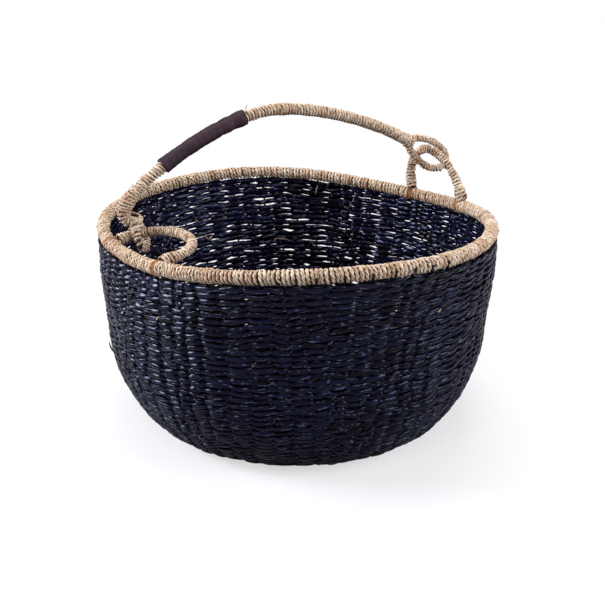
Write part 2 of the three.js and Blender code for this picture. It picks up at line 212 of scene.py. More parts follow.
def colour(code):
    """Linear colour with full alpha of an sRGB hex code: each part is ((v + 0.055) / 1.055) ^ 2.4."""
    parts = [int(code[i:i + 2], 16) / 255 for i in (1, 3, 5)]
    return tuple(v / 12.92 if v <= 0.04045 else ((v + 0.055) / 1.055) ** 2.4 for v in parts) + (1.0,)


def add(tree, kind, links=None, **settings):
    """Adds a node. Settings are its own options, and links are its inputs by name or number: another
    node's output is linked, and anything else is set as the input's value."""
    node = tree.nodes.new(kind)
    for key, value in settings.items():
        setattr(node, key, value)
    for key, value in (links or {}).items():
        if isinstance(value, bpy.types.NodeSocket):
            tree.links.new(value, node.inputs[key])
        else:
            node.inputs[key].default_value = value
    return node


def new_material(name):
    """An empty node material with its surface shader and output, ready for a pattern."""
    material = bpy.data.materials.new(name)
    material.use_nodes = True
    tree = material.node_tree
    return material, tree, tree.nodes["Principled BSDF"]


def round_strand(tree, place, wave):
    """Sine or cosine of the angle round a strand, from its uv coordinates: v runs once round it."""
    v = add(tree, "ShaderNodeSeparateXYZ", {0: place}).outputs["Y"]
    turned = add(tree, "ShaderNodeMath", {0: v, 1: 2 * math.pi}, operation="MULTIPLY").outputs[0]
    return add(tree, "ShaderNodeMath", {0: turned}, operation=wave).outputs[0]


def dyed_seagrass():
    """Dried seagrass dyed indigo: twisted blades, with more violet in patches about 90 mm wide. Painted
    shade makes them black in the hollows between their ribs and along the strand's two edges, and a pale
    streak here and there is worn fibre and painted highlight both. u is cm along the strand and v runs once
    round its 11 to 14 mm, so blades come about 3 mm wide and 11 long, their ribs 1 wide and 8 long, and a
    streak
    2 wide and 8 long. Waxy leaf has an IOR near 1.45, most of its sheen lost to dull hairs; its roughness
    is 0.14 on the ribs and 0.25 between them."""
    material, tree, shader = new_material("dyed_seagrass")
    tone = add(tree, "ShaderNodeAttribute", attribute_name="tone").outputs["Fac"]
    place = add(tree, "ShaderNodeUVMap", uv_map="strand").outputs["UV"]
    blades = add(tree, "ShaderNodeMapping", {"Vector": place, "Rotation": (0, 0, 0.1),
                                             "Scale": (0.9, 4.5, 1)})
    blade = add(tree, "ShaderNodeTexNoise", {"Vector": blades.outputs[0], "Scale": 1.0, "Detail": 1.0})
    ribs = add(tree, "ShaderNodeMapping", {"Vector": place, "Scale": (1.2, 13, 1)}).outputs[0]
    rib = add(tree, "ShaderNodeTexNoise", {"Vector": ribs, "Scale": 1.0, "Detail": 2.0}).outputs["Fac"]
    patch = add(tree, "ShaderNodeTexNoise", {
        "Vector": add(tree, "ShaderNodeTexCoord").outputs["Object"], "Scale": 11.0, "Detail": 1.0,
    }).outputs["Fac"]
    patchy = add(tree, "ShaderNodeMath", {0: patch, 1: tone}, operation="ADD").outputs[0]
    violet = add(tree, "ShaderNodeMapRange", {0: patchy, 1: 0.75, 2: 1.2}).outputs[0]
    dye = add(tree, "ShaderNodeMix", {0: violet, 6: colour("#070708"), 7: colour("#110f2c")},
              data_type="RGBA")
    dry = add(tree, "ShaderNodeMapRange", {0: tone, 1: 0.6, 2: 1.0, 4: 0.8}).outputs[0]
    faded = add(tree, "ShaderNodeMix", {0: dry, 6: dye.outputs[2], 7: colour("#202034")},
                data_type="RGBA")
    # Painted shade: the hollows between the ribs turn near black.
    hollow_shade = add(tree, "ShaderNodeMapRange", {0: rib, 1: 0.36, 2: 0.54}).outputs[0]
    skin = add(tree, "ShaderNodeMix", {0: hollow_shade, 6: colour("#040408"), 7: faded.outputs[2]},
               data_type="RGBA")
    # Pale streaks: worn fibre and painted highlight both, standing in for glints on the blades.
    streaks = add(tree, "ShaderNodeMapping", {"Vector": place, "Location": (3, 7, 0), "Scale": (1.3, 6, 1)})
    streak = add(tree, "ShaderNodeTexNoise", {"Vector": streaks.outputs[0], "Scale": 1.0, "Detail": 1.0})
    wear_and_glint = add(tree, "ShaderNodeMapRange", {0: streak.outputs["Fac"], 1: 0.62, 2: 0.7}).outputs[0]
    worn_and_glint_skin = add(tree, "ShaderNodeMix", {0: wear_and_glint, 6: skin.outputs[2], 7: colour("#5a5a74")},
                    data_type="RGBA")
    # Painted shade: the strand goes near black towards its top and bottom edges.
    height = add(tree, "ShaderNodeMath", {0: round_strand(tree, place, "SINE")}, operation="ABSOLUTE")
    edge = add(tree, "ShaderNodeMapRange", {0: height.outputs[0], 1: 0.6, 2: 0.2}).outputs[0]
    edge_shaded = add(tree, "ShaderNodeMix", {0: edge, 6: worn_and_glint_skin.outputs[2], 7: colour("#020204")},
                data_type="RGBA")
    tree.links.new(edge_shaded.outputs[2], shader.inputs["Base Color"])
    gloss = add(tree, "ShaderNodeMapRange", {0: rib, 1: 0.4, 2: 0.6, 3: 0.25, 4: 0.14}).outputs[0]
    tree.links.new(gloss, shader.inputs["Roughness"])
    shader.inputs["IOR"].default_value = 1.45
    shader.inputs["Specular IOR Level"].default_value = 0.28
    shader.inputs["Specular Tint"].default_value = colour("#d4d6ff")
    coarse = add(tree, "ShaderNodeBump", {"Height": blade.outputs["Fac"], "Strength": 1.0,
                                          "Distance": 0.0011})
    fine = add(tree, "ShaderNodeBump", {"Height": rib, "Strength": 0.2, "Distance": 0.0004,
                                        "Normal": coarse.outputs[0]})
    tree.links.new(fine.outputs[0], shader.inputs["Normal"])
    return material


DYED_SEAGRASS = dyed_seagrass()


def stakes_at(course):
    """How many stakes stand in a course: more are added as the bowl widens."""
    radius = np.interp(FIRST_COURSE + course * COURSE_PITCH, OUTLINE[0], OUTLINE[1])
    return [count for start, count in STAKES if radius >= start][-1]


def slits(boundary, count):
    """How far the gap between two courses stands open at each space between stakes, 0 to 1. Some
    spaces stand open over many courses, and many do under the rim, where the last course ends."""
    column = np.random.default_rng(9000 + count).random(count) < OPEN_COLUMNS
    draw = np.random.default_rng(9100 + boundary)
    share = np.where(column, SLIT_SHARE[1], SLIT_SHARE[0]) * np.interp(boundary, *SLITS_BY_COURSE)
    if boundary == COURSES - 1:
        share = np.full(count, TOP_SLIT_SHARE)
    return (draw.random(count) < share) * draw.uniform(*SLIT_OPENNESS, count)


def sway(angle, course):
    """How far the stakes lean round the basket at an angle and a course, counted in stakes."""
    return ripple(7, angle, course, STAKE_SWAY, range(3, 17, 2), 0.15)


def strand_pair(course):
    """The two strands of one course, each a closed tube. With u the angle counted in stakes, a strand
    stands out by depth x tanh(sharpness x cos(pi u)) / tanh(sharpness), rises and falls by sin(pi u),
    and is widest in front of and behind each stake."""
    count = stakes_at(course)
    draw = np.random.default_rng(100 + course)
    u = np.arange(count * STITCH_STEPS) / STITCH_STEPS
    straight = 2 * np.pi * u / count
    slip = ripple(700 + course, straight, 0, STAKE_SLIP, range(5, 40, 3), 0)
    angle = straight + (sway(straight, course) + slip) * 2 * np.pi / count
    along = FIRST_COURSE + course * COURSE_PITCH
    edge = min(1, course / CALM_COURSES, (COURSES - course) / CALM_COURSES + 0.1)
    along = along + edge * (ripple(11, straight, course, WANDER, range(2, 30, 3), 0.5)
                            + ripple(500 + course, straight, 0, COURSE_WANDER, range(5, 40, 4), 0))
    swell = edge * ripple(13, straight, course, SWELL, range(3, 24, 3), 0.6)
    stake = np.floor(u + 0.5).astype(int) % count
    space = np.floor(u).astype(int) % count
    opening = np.sin(np.pi * u) ** 2
    above = slits(course, count)[space] * opening
    below = slits(course - 1, count)[space] * opening
    pair = []
    for strand in (0, 1):
        phase = np.pi * (u + strand)
        crest = np.abs(np.cos(phase))
        near = crest ** STRAND_WIDENING
        plump = draw.normal(1, PLUMPNESS, count)[stake]
        proud = draw.normal(0, UNEVENNESS, count)[stake] * crest
        sag = draw.normal(0, UNEVENNESS, count)[stake] * crest
        side = np.sign(np.sin(phase))
        slit = np.where(side > 0, above, below)
        half_width = STRAND_HALF_WIDTH[0] + (STRAND_HALF_WIDTH[1] - STRAND_HALF_WIDTH[0]) * near
        half_width = half_width * (1 + (plump - 1) * crest)
        half_width = half_width - SLIT_DEPTH / 2 * slit
        half_thick = STRAND_HALF_THICKNESS[0] + (STRAND_HALF_THICKNESS[1] - STRAND_HALF_THICKNESS[0]) * near
        out = FLOAT_DEPTH * np.tanh(FLOAT_SHARPNESS * np.cos(phase)) / math.tanh(FLOAT_SHARPNESS)
        out = np.clip(out + proud * np.sign(np.cos(phase)), -FLOAT_LIMIT, FLOAT_LIMIT) + swell
        rise = FLOAT_RISE * np.sin(phase) + sag - SLIT_DEPTH / 2 * side * slit
        turn = (np.arange(STRAND_SIDES) + 0.5) * 2 * np.pi / STRAND_SIDES + np.pi / 2
        lay = 2 * np.pi * np.round(count * LAY_PER_STAKE) * u / count + draw.normal(0, 0.5, count)[stake]
        lobes = 1 + LOBE_DEPTH * np.cos(3 * turn[None, :] - lay[:, None])
        grid = on_bowl(
            np.broadcast_to(angle[:, None], (len(u), STRAND_SIDES)),
            (along + rise)[:, None] - half_width[:, None] * lobes * np.sin(turn)[None, :],
            out[:, None] + half_thick[:, None] * lobes * np.cos(turn)[None, :],
        )
        length = draw.uniform(0, 50) + np.concatenate([[0], np.cumsum(
            np.linalg.norm(np.diff(grid.mean(1), axis=0), axis=1))]) / 10
        knots = np.arange(0, count + TONE_STAKES, TONE_STAKES)
        tone = 0.5 * draw.random(count)[stake] + 0.5 * np.interp(u, knots, draw.random(len(knots)))
        pair.append((grid, length, tone, True))
    return pair


def stake_rods(low, high, count):
    """Bare stakes standing in the courses from low to high, seen in the gaps of the weave."""
    steps = max(4, (high - low) * 2)
    along = np.linspace(FIRST_COURSE + (low - 1) * COURSE_PITCH, FIRST_COURSE + high * COURSE_PITCH, steps)
    along = np.clip(along, 1.5, WALL_LENGTH + RIM_BOUND / 2)
    turn = (np.arange(STAKE_SIDES) + 0.5) * 2 * np.pi / STAKE_SIDES
    rods = []
    for stake in range(count):
        angle = 2 * np.pi * stake / count
        course = (along - FIRST_COURSE) / COURSE_PITCH
        angle = angle + sway(angle, course) * 2 * np.pi / count
        radius = np.maximum(np.interp(along, OUTLINE[0], OUTLINE[1]), 1)
        grid = on_bowl(
            angle[:, None] + STAKE_RADIUS * np.sin(turn)[None, :] / radius[:, None],
            np.broadcast_to(along[:, None], (steps, STAKE_SIDES)),
            STAKE_RADIUS * np.cos(turn)[None, :] + np.zeros((steps, 1)),
        )
        rods.append((grid, along / 10 + 3.7 * stake, np.full(steps, 0.1), False))
    return rods


bands = [(0, 15), (15, 23), (23, 32), (32, 41), (41, 51), (51, COURSES)]
for number, (low, high) in enumerate(bands):
    tubes = [tube for course in range(low, high) for tube in strand_pair(course)]
    weave = tube_mesh(f"weave_{number + 1}", tubes)
    weave.data.materials.append(DYED_SEAGRASS)
    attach(weave, "basket")
    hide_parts("woven_body")

rods = []
edges = [course for course in range(COURSES) if course == 0 or stakes_at(course) != stakes_at(course - 1)]
for low, high in zip(edges, edges[1:] + [COURSES + 2]):
    rods += stake_rods(low, high + 1, stakes_at(low))
stakes = tube_mesh("stakes", rods)
stakes.data.materials.append(DYED_SEAGRASS)
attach(stakes, "basket")
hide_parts("woven_body")


# Rim: two-ply straw cord wound tight over a hoop of cane, turn against turn.
# It runs in four lengths, from one eye's foot to the next, and closes the top of the weave.
GAP = 0.3
LASHING_WIDTH = 11
LASHING_EXTRA = 0.7
LASHING_LAP = 1.2
EYE_BOUND = 10
NEAR_FEET = (156.5, 191.5)
FAR_FEET = (11.5, -12.5)
UP = np.array([0.0, 0.0, 1.0])
PLY_SIDES = 6
TURN_STEPS = 24
TURN_LEAN = 0.4
TURN_DRIFT = 0.12
TURN_PROUD = 0.38
TURN_FAT = 0.24


def unit(v):
    """Vector or rows of vectors, each divided by its length."""
    return v / np.linalg.norm(v, axis=-1, keepdims=True)


class Route:
    """A line in space, by its points in mm. side is across x tangent, and lift is tangent x side."""

    def __init__(self, points, across, closed=False):
        self.points = points
        self.across = across
        self.closed = closed
        self.along = np.concatenate([[0], np.cumsum(np.linalg.norm(np.diff(points, axis=0), axis=1))])
        self.length = self.along[-1]

    def place(self, distance):
        """Points at distances along the line, straight on past the ends of an open one."""
        d = distance % self.length if self.closed else np.clip(distance, 0, self.length)
        point = np.stack([np.interp(d, self.along, self.points[:, k]) for k in range(3)], -1)
        if self.closed:
            return point
        first, last = unit(self.points[1] - self.points[0]), unit(self.points[-1] - self.points[-2])
        before, past = np.minimum(distance, 0), np.maximum(distance - self.length, 0)
        return point + before[..., None] * first + past[..., None] * last

    def frame(self, distance):
        """Point, tangent, side and lift at each distance."""
        tangent = unit(self.place(distance + 0.8) - self.place(distance - 0.8))
        side = unit(np.cross(self.across, tangent))
        return self.place(distance), tangent, side, np.cross(tangent, side)


def two_ply(middle, flat, out, length, twisted, cord, fat, tone, shift):
    """The two plies of a cord, as two open tubes twisted about its middle line. Ply k stands off the
    middle by offset x (cos a flat + sin a out), with a = the angle twisted + pi k, and its section is
    an oval; both are flattened in the out direction. v runs round each ply from its inner side."""
    ply_offset, ply_radius, flatness = cord
    turn = (np.arange(PLY_SIDES) + 0.5) * 2 * np.pi / PLY_SIDES + np.pi
    plies = []
    for k in (0, 1):
        a = twisted + np.pi * k
        along_flat = ply_offset * np.cos(a)[:, None] + ply_radius * np.sin(turn)[None, :]
        along_out = ply_offset * np.sin(a)[:, None] + ply_radius * np.cos(turn)[None, :]
        grid = middle[:, None, :] + (fat[:, None] * along_flat)[..., None] * flat[:, None, :] \
            + (fat[:, None] * flatness * along_out)[..., None] * out[:, None, :]
        plies.append((grid, length / 10 + shift + 13 * k, tone, False))
    return plies


def wound_cord(route, start, end, radius, cord, pitch, seed, twist=8.0, slack=0.5):
    """Two-ply cord wound round a route from start to end, as two open tubes. Its middle runs on a helix
    whose turns reach out to the given radius. slack makes single turns lean, and stand proud or fat."""
    reach = (cord[0] + cord[1]) * cord[2]
    draw = np.random.default_rng(seed)
    turns = max(2, int(round((end - start) / pitch)))
    t = np.linspace(0, turns, turns * TURN_STEPS + 1)
    knots = np.arange(turns + 2)
    jitter = lambda size: np.interp(t, knots, draw.normal(0, size, turns + 2))
    whole = np.floor(t + 0.5).astype(int)
    lean = jitter(TURN_LEAN * slack * pitch) * np.cos(2 * np.pi * t)
    distance = start + (end - start) * t / turns + jitter(TURN_DRIFT * slack * pitch) + lean
    proud = (radius(distance) if callable(radius) else radius) - reach + jitter(TURN_PROUD * slack * reach)
    swing = 2 * np.pi * t + jitter(0.05)
    point, _, side, lift = route.frame(distance)
    out = np.cos(swing)[:, None] * side + np.sin(swing)[:, None] * lift
    middle = point + proud[:, None] * out
    tangent = unit(np.gradient(middle, axis=0))
    flat = unit(np.cross(tangent, out))
    out = np.cross(flat, tangent)
    length = np.concatenate([[0], np.cumsum(np.linalg.norm(np.diff(middle, axis=0), axis=1))])
    tone = np.clip(0.5 + 0.3 * draw.normal(0, 1, turns + 2)[whole]
                   + 0.12 * np.sin(2 * np.pi * distance / 61 + seed), 0, 1)
    twisted = 2 * np.pi * length / twist + jitter(1.0)
    fat = 1 + jitter(TURN_FAT * slack)
    return two_ply(middle, flat, out, length, twisted, cord, fat, tone, draw.uniform(0, 50))


def straw_cord(name, light, middle, dark):
    """Straw twisted into a soft two-ply cord: dry matt stems about 1 mm wide and 4 mm long along the
    lay, from u in cm along the cord and v once round a ply of 7 to 8 mm. Dry straw has an IOR near 1.45
    and a roughness of 0.7 and more. The hollows between stems and the inner side of each ply are browner
    with painted shade."""
    material, tree, shader = new_material(name)
    tone = add(tree, "ShaderNodeAttribute", attribute_name="tone").outputs["Fac"]
    place = add(tree, "ShaderNodeUVMap", uv_map="strand").outputs["UV"]
    lay = add(tree, "ShaderNodeMapping", {"Vector": place, "Rotation": (0, 0, 0.35), "Scale": (1.8, 6, 1)})
    stem = add(tree, "ShaderNodeTexNoise", {"Vector": lay.outputs[0], "Scale": 1.3, "Detail": 3.0})
    base = add(tree, "ShaderNodeMix", {0: tone, 6: colour(middle), 7: colour(light)}, data_type="RGBA")
    # Painted shade: the hollows between stems take the dark colour.
    hollow_shade = add(tree, "ShaderNodeMapRange", {0: stem.outputs["Fac"], 1: 0.36, 2: 0.54}).outputs[0]
    stems = add(tree, "ShaderNodeMix", {0: hollow_shade, 6: colour(dark), 7: base.outputs[2]}, data_type="RGBA")
    # Painted shade: the inner side of each ply, where plies and turns press together, goes browner.
    inner = round_strand(tree, place, "COSINE")
    crevice_shade = add(tree, "ShaderNodeMapRange", {0: inner, 1: -0.3, 2: 0.55, 4: 0.95}).outputs[0]
    skin = add(tree, "ShaderNodeMix", {0: crevice_shade, 6: stems.outputs[2], 7: colour("#4c2d23")},
               data_type="RGBA")
    tree.links.new(skin.outputs[2], shader.inputs["Base Color"])
    shader.inputs["Roughness"].default_value = 0.78
    shader.inputs["IOR"].default_value = 1.45
    bump = add(tree, "ShaderNodeBump", {"Height": stem.outputs["Fac"], "Strength": 0.6, "Distance": 0.0005})
    tree.links.new(bump.outputs[0], shader.inputs["Normal"])
    return material


STRAW_CORD = straw_cord("straw_cord", "#ead8bf", "#c8a788", "#80583f")
BROWN_STRAW_CORD = straw_cord("brown_straw_cord", "#dcbd96", "#9c6340", "#6e4427")


def rim_point(angle):
    """Middle line of the rim: radius x (1 + its oval waves), height + its height waves."""
    radius = RIM_RADIUS * (1 + waves(RIM_OVAL, angle))
    height = RIM_HEIGHT + waves(RIM_WAVE, angle)
    return np.stack([radius * np.cos(angle), radius * np.sin(angle), height], -1) + ORIGIN


RIM_ANGLES = np.linspace(0, 2 * np.pi, 1201)
RIM = Route(rim_point(RIM_ANGLES), UP, closed=True)
RIM_CORD = (0.66, 1.2, 0.9)
RIM_PITCH = 3.7
foot_along = {name: float(np.interp(math.radians(degrees % 360), RIM_ANGLES, RIM.along))
              for name, degrees in (("far_left", FAR_FEET[0]), ("near_left", NEAR_FEET[0]),
                                    ("near_right", NEAR_FEET[1]), ("far_right", FAR_FEET[1]))}
rim_runs = [("back", "far_left", "near_left", 0), ("near", "near_left", "near_right", 0),
            ("front", "near_right", "far_right", 0), ("far", "far_right", "far_left", RIM.length)]
clear = LASHING_WIDTH / 2 - LASHING_LAP
for number, (name, first, last, lap) in enumerate(rim_runs):
    plies = wound_cord(RIM, foot_along[first] + clear, foot_along[last] + lap - clear,
                       RIM_BOUND / 2, RIM_CORD, RIM_PITCH, 21 + number, twist=8.5, slack=0.42)
    run = tube_mesh(f"rim_cord_{name}", plies)
    run.data.materials.append(STRAW_CORD)
    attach(run, "basket")
    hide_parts(f"rim_binding_{name}")


# Lashings: a few close turns of straw over the rim at each foot of the two eyes, brown in the middle.
# The foot is pushed in among them and they hold it down.
NEAR_FOOT_LEAN = 67
FAR_FOOT_LEAN = 5


def foot_point(degrees, lean):
    """Centre of an eye's foot: out from the rim's middle line by the seat, leaned in over the mouth."""
    angle = math.radians(degrees)
    seat = RIM_BOUND / 2 + LASHING_EXTRA + GAP + EYE_BOUND / 2
    inward = -np.array([math.cos(angle), math.sin(angle), 0])
    return rim_point(np.array(angle)) + inward * seat * math.sin(math.radians(lean)) \
        + UP * seat * math.cos(math.radians(lean))


LASH_CORD = (0.45, 1.2, 0.8)
LASH_PITCH = 2.9
BROWN_SHIFT = (0.25, -0.1, 0.1, -0.2)
BROWN_START = 0.3
BROWN_RISE = 2.5
BROWN_TONES = (0.05, 0.85)
for number, name in enumerate(("far_left", "near_left", "near_right", "far_right")):
    at = foot_along[name]
    plies = wound_cord(RIM, at - LASHING_WIDTH / 2, at + LASHING_WIDTH / 2,
                       RIM_BOUND / 2 + LASHING_EXTRA, LASH_CORD, LASH_PITCH, 41 + number)
    brown = np.abs(np.linspace(-1, 1, len(plies[0][0])) + BROWN_SHIFT[number])
    brown = np.clip((brown - BROWN_START) * BROWN_RISE, *BROWN_TONES)
    lashing = tube_mesh(f"foot_lashing_{name}", [(grid, along, brown, False) for grid, along, _, _ in plies])
    lashing.data.materials.append(BROWN_STRAW_CORD)
    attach(lashing, "basket")
    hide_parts(f"lashing_{name}")


# Eyes: a length of cane bent to an arch and bound with the same cord, its two feet on the rim.
# The near one lies folded in over the mouth and the far one stands up.
NEAR_EYE = dict(feet=NEAR_FEET, lean=NEAR_FOOT_LEAN, reach=40, rise=9, skew=2, power=2.3)
FAR_EYE = dict(feet=FAR_FEET, lean=FAR_FOOT_LEAN, reach=40, rise=88, skew=11, power=1.85)
EYE_CORD = (0.55, 1.22, 0.9)
EYE_PITCH = 3.2
EYE_SUNK = 6
KNOB_END = 8
KNOB_FALL = 4
KNOB_EXTRA = 1.1


def eye_route(feet, lean, reach, rise, skew, power):
    """Arch between two feet: middle + chord (half c + skew s) + arm reach s, where c and s are the
    cosine and sine of t raised to 2 / power, and the arm leans in over the mouth by rise degrees."""
    left, right = (foot_point(degrees, lean) for degrees in feet)
    middle = (left + right) / 2
    half = np.linalg.norm(left - right) / 2
    chord = unit(left - right)
    inward = unit(np.cross(UP, chord))
    inward = -inward if inward @ (middle - ORIGIN) > 0 else inward
    upward = unit(np.cross(inward, chord))
    upward = -upward if upward[2] < 0 else upward
    arm = inward * math.cos(math.radians(rise)) + upward * math.sin(math.radians(rise))
    t = np.linspace(0, np.pi, 601)
    c = np.sign(np.cos(t)) * np.abs(np.cos(t)) ** (2 / power)
    s = np.abs(np.sin(t)) ** (2 / power)
    points = middle + (half * c + skew * s)[:, None] * chord + (reach * s)[:, None] * arm
    return Route(points, unit(np.cross(chord, arm)))


def eye_radius(distance, length):
    """Bound radius of an eye: half its diameter, and more over the cane's knob at each foot."""
    past = np.minimum(distance, length - distance)
    return EYE_BOUND / 2 + KNOB_EXTRA * np.clip((KNOB_END - past) / KNOB_FALL, 0, 1)


near_eye, far_eye = eye_route(**NEAR_EYE), eye_route(**FAR_EYE)
for name, route, seed in (("near", near_eye, 71), ("far", far_eye, 72)):
    bound = lambda distance: eye_radius(distance, route.length)
    plies = wound_cord(route, -EYE_SUNK, route.length + EYE_SUNK, bound, EYE_CORD, EYE_PITCH, seed,
                       twist=9, slack=0.55)
    eye = tube_mesh(f"{name}_eye_cord", plies)
    eye.data.materials.append(STRAW_CORD)
    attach(eye, f"{name}_eye")
    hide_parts(f"{name}_eye_binding")


# End loops: the rod's cane is split and bent to a drop round each eye, and bound with thick turns.
# The near loop hangs on the near eye's leg, and the far loop runs through the far eye. Both are
# wound a little thicker than the solids have them.
LOOP_BOUND = 7.8
STRAND_GAP = 0.8
NEAR_LOOP = dict(length=27, width=15.5)
FAR_LOOP = dict(length=57, width=18)
NEAR_LINK_SHARE = 0.11
NEAR_HANG = (7, -4, -27)
NEAR_OPEN_ACROSS = (0.68, 0.73, 0)
NEAR_PLAY = 0.3
FAR_LINK_SHARE = 0.44
FAR_LINK_PLACE = 28
FAR_DROOP = 30
DROP_PEAK = 0.8625
NEAR_LOOP_CORD = (0.55, 1.3, 0.95)
NEAR_LOOP_EXTRA = 0.7
NEAR_LOOP_PITCH = 3.6
FAR_LOOP_CORD = (0.4, 1.4, 0.85)
FAR_LOOP_EXTRA = 0.3
FAR_LOOP_PITCH = 3.3


def loop_half(t, width):
    """Half width of a loop: (clear width + bound diameter) / 2 / peak x sin t x sqrt(sin(t / 2)), where
    the peak is close to 0.8623, the most that sin t x sqrt(sin(t / 2)) comes to."""
    return (width + LOOP_BOUND) / 2 / DROP_PEAK * np.sin(t) * np.sqrt(np.sin(t / 2))


def loop_route(tip, along, across, length, width):
    """Drop from its tip: along x length (1 - cos t) / 2 + across x half width, from where the two
    strands first clear each other. Returns the line and how far from the tip it starts."""
    t = np.arange(0, np.pi / 2, 0.001)
    start = t[np.argmax(loop_half(t, width) >= (LOOP_BOUND + STRAND_GAP) / 2)]
    t = np.linspace(start, 2 * np.pi - start, 601)
    points = tip + (length * (1 - np.cos(t)) / 2)[:, None] * along + loop_half(t, width)[:, None] * across
    return Route(points, unit(np.cross(along, across))), length * (1 - math.cos(start)) / 2


contact = EYE_BOUND / 2 + LOOP_BOUND / 2 + GAP
near_link = near_eye.place(np.array(near_eye.length * NEAR_LINK_SHARE))
far_link = far_eye.place(np.array(far_eye.length * FAR_LINK_SHARE))
plan = unit((far_link - near_link) * [1, 1, 0])
near_along = unit(np.array(NEAR_HANG, float))
near_across = np.array(NEAR_OPEN_ACROSS)
near_across = unit(near_across - (near_across @ near_along) * near_along)
unplaced, _ = loop_route(np.zeros(3), near_along, near_across, **NEAR_LOOP)
seats = np.arange(contact, 40, 0.05)
clearances = np.linalg.norm(unplaced.points[None] - seats[:, None, None] * near_along, axis=-1).min(1)
near_seat = seats[np.argmax(clearances >= contact + NEAR_PLAY)]
near_tip = near_link - near_seat * near_along
near_loop, near_reach = loop_route(near_tip, near_along, near_across, **NEAR_LOOP)
far_along = plan * math.cos(math.radians(FAR_DROOP)) - UP * math.sin(math.radians(FAR_DROOP))
far_across = unit(np.cross(far_along, np.cross(UP, plan)))
far_across = -far_across if far_across[2] < 0 else far_across
far_turn = math.acos(1 - 2 * FAR_LINK_PLACE / FAR_LOOP["length"])
far_tip = far_link - FAR_LINK_PLACE * far_along \
    + (contact - loop_half(far_turn, FAR_LOOP["width"])) * far_across
far_loop, far_reach = loop_route(far_tip, far_along, far_across, **FAR_LOOP)

for name, route, extra, cord, pitch, seed, slack in (
        ("near", near_loop, NEAR_LOOP_EXTRA, NEAR_LOOP_CORD, NEAR_LOOP_PITCH, 81, 1.0),
        ("far", far_loop, FAR_LOOP_EXTRA, FAR_LOOP_CORD, FAR_LOOP_PITCH, 82, 0.5)):
    plies = wound_cord(route, -1, route.length + 1, LOOP_BOUND / 2 + extra, cord, pitch, seed,
                       twist=5.5, slack=slack)
    loop = tube_mesh(f"{name}_loop_cord", plies)
    loop.data.materials.append(STRAW_CORD)
    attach(loop, "handle")
    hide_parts(f"{name}_loop_binding")


# Handle rod: a cane rod bent to an arch and bound in straw cord from one fork to the other.
# It hooks down behind the near eye and runs straight into the far fork.
HANDLE_BOUND = 12
HANDLE_CORD = (0.3, 1.38, 0.85)
HANDLE_PITCH = 3.3
HOOK_CORD = (0.6, 1.25, 0.9)
HOOK_PITCH = 2.8
HOOK_END = 46
SPLICE_START = 10
SPLICE_RISE = 4
SPLICE_FALL = 16
SPLICE_LENGTH = 28
SPLICE_EXTRA = 1.5
ARCH_HEIGHT = 101
ARCH_PLACE = 0.48
HOOK_REACH = 13
HOOK_LAP = 1.5
HOOK_ENTRY = (0.8, 0.4)
SHOULDER_REACH = 0.14
CROWN_REACH = 0.15
FORK_REACH = 0.17
FORK_DEPTH = 7
SHOULDER_RISE = 43
SHOULDER_SLOPE = 38


def bezier(a, b, c, d, count=200):
    """Points of a cubic curve with ends a and d and handles b and c."""
    t = np.linspace(0, 1, count)[:, None]
    return (1 - t) ** 3 * a + 3 * (1 - t) ** 2 * t * b + 3 * (1 - t) * t ** 2 * c + t ** 3 * d


entry = unit(plan * HOOK_ENTRY[0] + near_along * HOOK_ENTRY[1])
rod_start = near_tip + near_along * near_reach - entry * FORK_DEPTH
rod_end = far_tip + far_along * (far_reach - LOOP_BOUND / 2 - GAP)
shoulder = near_link + UP * SHOULDER_RISE
slope = plan * math.cos(math.radians(SHOULDER_SLOPE)) + UP * math.sin(math.radians(SHOULDER_SLOPE))
span = np.linalg.norm((rod_end - shoulder)[:2])
crown = shoulder + plan * span * ARCH_PLACE
crown[2] = RIM_HEIGHT + ARCH_HEIGHT
rod = Route(np.concatenate([
    bezier(rod_start, rod_start - entry * HOOK_REACH, shoulder - slope * HOOK_REACH, shoulder)[:-1],
    bezier(shoulder, shoulder + slope * span * SHOULDER_REACH,
           crown - plan * span * CROWN_REACH, crown)[:-1],
    bezier(crown, crown + plan * span * CROWN_REACH, rod_end - far_along * span * FORK_REACH, rod_end),
]), unit(np.cross(plan, UP)))


def rod_radius(distance):
    """Bound radius of the rod: half its diameter, and more where the near loop's cane is spliced on."""
    past = distance - SPLICE_START
    share = np.clip(np.minimum(past / SPLICE_RISE, (SPLICE_LENGTH - past) / SPLICE_FALL), 0, 1)
    return HANDLE_BOUND / 2 + SPLICE_EXTRA * share


plies = wound_cord(rod, 0, HOOK_END, rod_radius, HOOK_CORD, HOOK_PITCH, 92, twist=7, slack=0.7)
plies += wound_cord(rod, HOOK_END - HOOK_LAP, rod.length, rod_radius, HANDLE_CORD, HANDLE_PITCH, 91,
                    twist=14, slack=0.35)
handle = tube_mesh("handle_cord", plies)
handle.data.materials.append(STRAW_CORD)
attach(handle, "handle")
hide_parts("handle_binding")


# Fork lashings: slack turns of thick cord round the end of the rod and the two strands of each
# end loop, pulled tight at both ends so that they make a rounded lump.
KNOT_CORD = (0.55, 1.35, 0.95)
NEAR_KNOT = (-9, 6, 8.2, 4.1)
FAR_KNOT = (-3, 7, 7.4, 3.3)
KNOT_TAPER = 0.55


def fork_knot(tip, along, across, back, reach, radius, pitch, seed):
    """Turns round both strands and the rod's end, from back to reach along the fork. The outline
    swells in the middle as a ball does: radius x sqrt(1 - taper x share^2), share -1 to 1 end to end."""
    route = Route(tip + np.linspace(back, reach, 30)[:, None] * along, across)
    half = (reach - back) / 2
    ball = lambda distance: radius * np.sqrt(1 - KNOT_TAPER * np.clip(distance / half - 1, -1, 1) ** 2)
    return wound_cord(route, 0, reach - back, ball, KNOT_CORD, pitch, seed, twist=5.5, slack=1.2)


